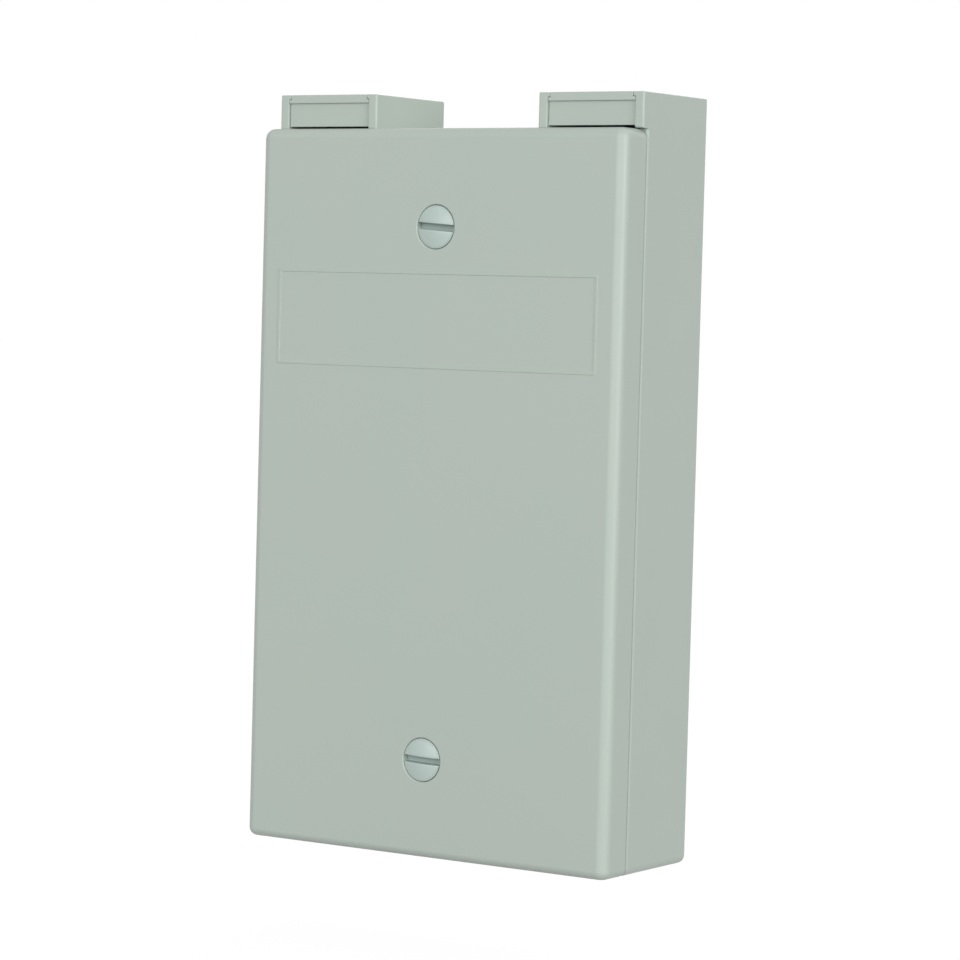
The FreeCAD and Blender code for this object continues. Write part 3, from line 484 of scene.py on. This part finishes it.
RUBBER_TINT = (0.013, 0.013, 0.014, 1)
RUBBER_TINT_DUSTY = (0.024, 0.024, 0.024, 1)
HOLDER_EDGE = 0.18 * MM

holder_rubber = moulded_plastic("soft holder rubber", RUBBER_TINT, RUBBER_TINT_DUSTY, 0.72,
                                cloud=7 * MM, grain=0.12 * MM, relief=0.014 * MM)
break_edges(dress("splice_holder", holder_rubber), HOLDER_EDGE)

# Two more of the small zinc-plated steel screws hold the tray. They go through its floor between the drums, into the
# base's posts.

TRAY_SCREW_TURNS = (-17, 52)

tray_screw_low, tray_screw_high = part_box("tray_screws")
tray_screw_places = [(0, tray_screw_low.z + SMALL_HEAD), (0, tray_screw_high.z - SMALL_HEAD)]
small_screws("tray_screws", tray_screw_places, TRAY_SCREW_TURNS, zinc)

# The four couplers are the outlets, moulded in glossy green plastic. They slide into combs behind the bottom wall,
# and each holds a slit sleeve of polished ceramic that lines up two fibres.

COUPLER_TINT = (0.010, 0.170, 0.033, 1)
COUPLER_TINT_DEEP = (0.008, 0.145, 0.030, 1)
COUPLER_EDGE = 0.14 * MM
CERAMIC_TINT = (0.84, 0.84, 0.79, 1)
CERAMIC_TINT_COOL = (0.80, 0.81, 0.78, 1)
SLEEVE_EDGE = 0.03 * MM

coupler_plastic = moulded_plastic("glossy green coupler plastic", COUPLER_TINT, COUPLER_TINT_DEEP, 0.24,
                                  cloud=9 * MM, grain=0.4 * MM, relief=0.003 * MM)
sleeve_ceramic = moulded_plastic("polished sleeve ceramic", CERAMIC_TINT, CERAMIC_TINT_COOL, 0.12,
                                 cloud=2 * MM, grain=0.1 * MM, relief=0.001 * MM)
for number in range(1, 5):
    break_edges(dress(f"adapter_{number}", coupler_plastic), COUPLER_EDGE)
    break_edges(dress(f"alignment_sleeve_{number}", sleeve_ceramic), SLEEVE_EDGE)

# Each coupler is closed at both ends by a dust cap, moulded in soft, milky plastic with grooves for the fingers. It is
# pushed into the socket and held by its snug fit.

CAP_TINT = (0.74, 0.76, 0.72, 1)
CAP_TINT_MILKY = (0.78, 0.79, 0.76, 1)
CAP_EDGE = 0.2 * MM

cap_plastic = moulded_plastic("soft cap plastic", CAP_TINT, CAP_TINT_MILKY, 0.42,
                              cloud=6 * MM, grain=0.3 * MM, relief=0.006 * MM)
for number in range(1, 5):
    for where in ("inner", "outer"):
        break_edges(dress(f"{where}_cap_{number}", cap_plastic), CAP_EDGE)

# Each entry insert is an L-shaped slide of the housing's ABS that closes a hood: its plate runs in the grooves under
# the cheeks' lips, and a ring is scored into it to be broken out for a cable.

INSERT_EDGE = 0.1 * MM

for side in ("left", "right"):
    break_edges(dress(f"entry_insert_{side}", housing_plastic), INSERT_EDGE)

# The cover is the shallow front half of the housing, moulded in the same ABS with the bead round its label field.
# Its lip drops into the base's rabbet, and two captive screws hold it.

COVER_EDGE_SHARE = 0.2
WELL_EDGE = 0.32 * MM
WELL_RADIUS = 4.33 * MM
WELL_RISE = 52.2 * MM
WELL_SLACK = 0.1 * MM
COVER_FRONT = 31 * MM


def cover_edge_share(middle):
    """The mouths of the two screw wells are rounded in full, and all other edges less."""
    reach = math.hypot(middle.x, abs(middle.z) - WELL_RISE)
    at_mouth = abs(reach - WELL_RADIUS) < WELL_SLACK and middle.y < -COVER_FRONT
    return 1 if at_mouth else COVER_EDGE_SHARE


break_edges(dress("cover", housing_plastic), WELL_EDGE, cover_edge_share)

# A ring of natural nylon sits in the end of each screw tube of the cover. It is turned from bar and pressed in, and
# keeps the screw from falling out.

RING_TINT = (0.69, 0.69, 0.62, 1)
RING_TINT_PALE = (0.73, 0.73, 0.67, 1)
RING_EDGE = 0.12 * MM

ring_nylon = moulded_plastic("natural nylon", RING_TINT, RING_TINT_PALE, 0.46,
                             cloud=3 * MM, grain=0.15 * MM, relief=0.006 * MM)
for end in ("top", "bottom"):
    break_edges(dress(f"captive_washer_{end}", ring_nylon), RING_EDGE)

# The two cover screws are moulded in grey-green polyamide, a little cooler and glossier than the housing. Their
# domed heads stand in the counterbores of the cover, with the slots almost level.

SCREW_TINT = (0.470, 0.560, 0.520, 1)
SCREW_TINT_COOL = (0.458, 0.555, 0.517, 1)
SCREW_HEAD = 4.26 * MM
SCREW_SHIFT = -0.04 * MM
SCREW_SEAT = 28.6 * MM
SCREW_DOME = 0.65 * MM
SCREW_ROUNDING = 0.16 * MM
SCREW_SLOT = (1.35 * MM, 2.0 * MM)
SCREW_NECK = 1.95 * MM
SCREW_THREAD = (2.45 * MM, 2.0 * MM, METRIC_PITCH)
SCREW_THREAD_START = 18.3 * MM
SLOT_TURNS = {"top": 4, "bottom": 1.8}
# The painted shade of the slot: a darker tint, and the depths where it starts, is full, ends and fades out.
SLOT_SHADE_TINT = (0.33, 0.41, 0.385, 1)
SLOT_SHADE_START = 31.2 * MM
SLOT_SHADE_FULL = 30.8 * MM
SLOT_SHADE_END = 29.5 * MM
SLOT_SHADE_FADE = 0.1 * MM


def paint_slot_shade(finish, tint, unshaded, fully_shaded, floor):
    """Painted shade in a slot: a darker colour, none in front of the first depth, full at the second, and none behind
    the last.
    """
    tree = finish.node_tree
    colour = tree.nodes["Principled BSDF"].inputs["Base Color"]
    place = tree.nodes.new("ShaderNodeTexCoord")
    split = tree.nodes.new("ShaderNodeSeparateXYZ")
    tree.links.new(place.outputs["Object"], split.inputs["Vector"])
    shade_share = tree.nodes.new("ShaderNodeMath")
    shade_share.operation = "MULTIPLY"
    tree.links.new(spread(tree, split.outputs["Y"], 0, 1, start=-unshaded, end=-fully_shaded), shade_share.inputs[0])
    tree.links.new(spread(tree, split.outputs["Y"], 1, 0, start=-floor, end=SLOT_SHADE_FADE - floor), shade_share.inputs[1])
    shade_mix = tree.nodes.new("ShaderNodeMix")
    shade_mix.data_type = "RGBA"
    tree.links.new(shade_share.outputs["Value"], shade_mix.inputs["Factor"])
    tree.links.new(colour.links[0].from_socket, shade_mix.inputs["A"])
    shade_mix.inputs["B"].default_value = tint
    tree.links.new(shade_mix.outputs["Result"], colour)


screw_plastic = moulded_plastic("satin screw plastic", SCREW_TINT, SCREW_TINT_COOL, 0.33,
                                cloud=3 * MM, grain=0.15 * MM, relief=0.003 * MM)
# Painted shade darkens the slot and the side of the head between these depths.
paint_slot_shade(screw_plastic, SLOT_SHADE_TINT, SLOT_SHADE_START, SLOT_SHADE_FULL, SLOT_SHADE_END)
for end, turn in SLOT_TURNS.items():
    low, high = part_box(f"cover_screw_{end}")
    screw = slotted_screw(f"slotted_screw_{end}", screw_plastic, head=SCREW_HEAD, seat=SCREW_SEAT, crown=-low.y,
                          dome=SCREW_DOME, slot=SCREW_SLOT, neck=SCREW_NECK, thread=SCREW_THREAD,
                          thread_start=SCREW_THREAD_START, tip=-high.y, rounding=SCREW_ROUNDING)
    screw.location = (SCREW_SHIFT, 0, (low.z + high.z) / 2)
    screw.rotation_euler.y = math.radians(turn)
    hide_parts(f"cover_screw_{end}")
    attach(screw, f"cover_screw_{end}")

# The room is a plain white studio, with white all round the box. It hangs as on its wall, with room over the pale
# floor for the outlet caps to come out.

FLOOR_REACH = 6
FLOOR_DROP = 18 * MM
FLOOR_TINT = (0.37, 0.37, 0.37, 1)
FLOOR_ROUGHNESS = 0.9
FLOOR_SHINE = 0.1
FLOOR_GLOW = 1.13
FLOOR_GLOW_SHARE = 0.85
WHITE = (1, 1, 1, 1)
ROOM_LIGHT = 0.465


def seen_directly(tree):
    """One where the camera, a mirror or a clear piece looks at the studio, and nought where it only lights."""
    path = tree.nodes.new("ShaderNodeLightPath")
    total = path.outputs["Is Camera Ray"]
    for name in ("Is Glossy Ray", "Is Transmission Ray"):
        both = tree.nodes.new("ShaderNodeMath")
        both.operation = "MAXIMUM"
        tree.links.new(total, both.inputs[0])
        tree.links.new(path.outputs[name], both.inputs[1])
        total = both.outputs["Value"]
    return total


floor_low = cad_box[0].z - FLOOR_DROP
floor_mesh = bpy.data.meshes.new("floor")
floor_corners = [(x * FLOOR_REACH, y * FLOOR_REACH, floor_low) for x, y in ((-1, -1), (1, -1), (1, 1), (-1, 1))]
floor_mesh.from_pydata(floor_corners, [], [(0, 1, 2, 3)])
floor = bpy.data.objects.new("floor", floor_mesh)
scene.collection.objects.link(floor)
floor_finish, tree, shader = new_finish("pale floor")
shader.inputs["Base Color"].default_value = FLOOR_TINT
shader.inputs["Roughness"].default_value = FLOOR_ROUGHNESS
shader.inputs["Specular IOR Level"].default_value = FLOOR_SHINE
glow = tree.nodes.new("ShaderNodeEmission")
glow.inputs["Color"].default_value = WHITE
glow.inputs["Strength"].default_value = FLOOR_GLOW
mixed = tree.nodes.new("ShaderNodeMixShader")
share = tree.nodes.new("ShaderNodeMath")
share.operation = "MULTIPLY"
share.inputs[1].default_value = FLOOR_GLOW_SHARE
tree.links.new(seen_directly(tree), share.inputs[0])
tree.links.new(share.outputs["Value"], mixed.inputs["Fac"])
tree.links.new(shader.outputs["BSDF"], mixed.inputs[1])
tree.links.new(glow.outputs["Emission"], mixed.inputs[2])
tree.links.new(mixed.outputs["Shader"], tree.nodes["Material Output"].inputs["Surface"])
floor_mesh.materials.append(floor_finish)

world = bpy.data.worlds.new("white studio")
scene.world = world
world.use_nodes = True
tree = world.node_tree
around = tree.nodes["Background"]
around.inputs["Color"].default_value = WHITE
level = tree.nodes.new("ShaderNodeMapRange")
level.inputs["To Min"].default_value = ROOM_LIGHT
level.inputs["To Max"].default_value = 1
tree.links.new(seen_directly(tree), level.inputs["Value"])
tree.links.new(level.outputs["Result"], around.inputs["Strength"])

# Two large soft lamps, one in front and one on the right, light the front and the right side alike. A third lights
# the back, and a small one in front draws the glints on the screw heads.


def soft_lamp(name, azimuth, elevation, distance, width, height, power):
    """A rectangular soft lamp that looks at the middle of the box."""
    lamp = bpy.data.lights.new(name, "AREA")
    lamp.shape = "RECTANGLE"
    lamp.size = width
    lamp.size_y = height
    lamp.energy = power
    around, up = math.radians(azimuth), math.radians(elevation)
    out = Vector((math.sin(around) * math.cos(up), -math.cos(around) * math.cos(up), math.sin(up)))
    stand = bpy.data.objects.new(name, lamp)
    stand.location = out * distance
    stand.rotation_euler = out.to_track_quat("Z", "Y").to_euler()
    scene.collection.objects.link(stand)


soft_lamp("front softbox", azimuth=15, elevation=13, distance=8, width=6.4, height=3.4, power=244)
soft_lamp("side softbox", azimuth=67, elevation=8, distance=8, width=3.6, height=3.6, power=325)
soft_lamp("back softbox", azimuth=185, elevation=40, distance=8, width=3.6, height=2.8, power=240)
soft_lamp("small softbox", azimuth=-16, elevation=8, distance=1.6, width=0.4, height=0.4, power=1.6)

# The camera stands in front on the right, a little above the middle, with a long lens. It is rolled slightly, so the
# box leans a little in the picture.

TARGET = Vector((6.70, -23.1, 2.96)) * MM
CAMERA_TURN, CAMERA_RISE, CAMERA_ROLL = math.radians(33.28), math.radians(2.87), math.radians(1.56)
CAMERA_DISTANCE = 688.5 * MM
LENS_LENGTH = 131.52
SENSOR_WIDTH = 36
NEAREST, FARTHEST = 0.05, 40

back = Vector((math.sin(CAMERA_TURN) * math.cos(CAMERA_RISE), -math.cos(CAMERA_TURN) * math.cos(CAMERA_RISE),
               math.sin(CAMERA_RISE)))
level_right = Vector((math.cos(CAMERA_TURN), math.sin(CAMERA_TURN), 0))
level_up = back.cross(level_right)
right = level_right * math.cos(CAMERA_ROLL) + level_up * math.sin(CAMERA_ROLL)
up = level_up * math.cos(CAMERA_ROLL) - level_right * math.sin(CAMERA_ROLL)
lens = bpy.data.cameras.new("studio camera")
lens.lens = LENS_LENGTH
lens.sensor_width = SENSOR_WIDTH
lens.clip_start = NEAREST
lens.clip_end = FARTHEST
camera = bpy.data.objects.new("studio camera", lens)
place = Matrix((right, up, back)).transposed().to_4x4()
place.translation = TARGET + back * CAMERA_DISTANCE
camera.matrix_world = place
scene.collection.objects.link(camera)
scene.camera = camera
scene.view_settings.view_transform = "Standard"
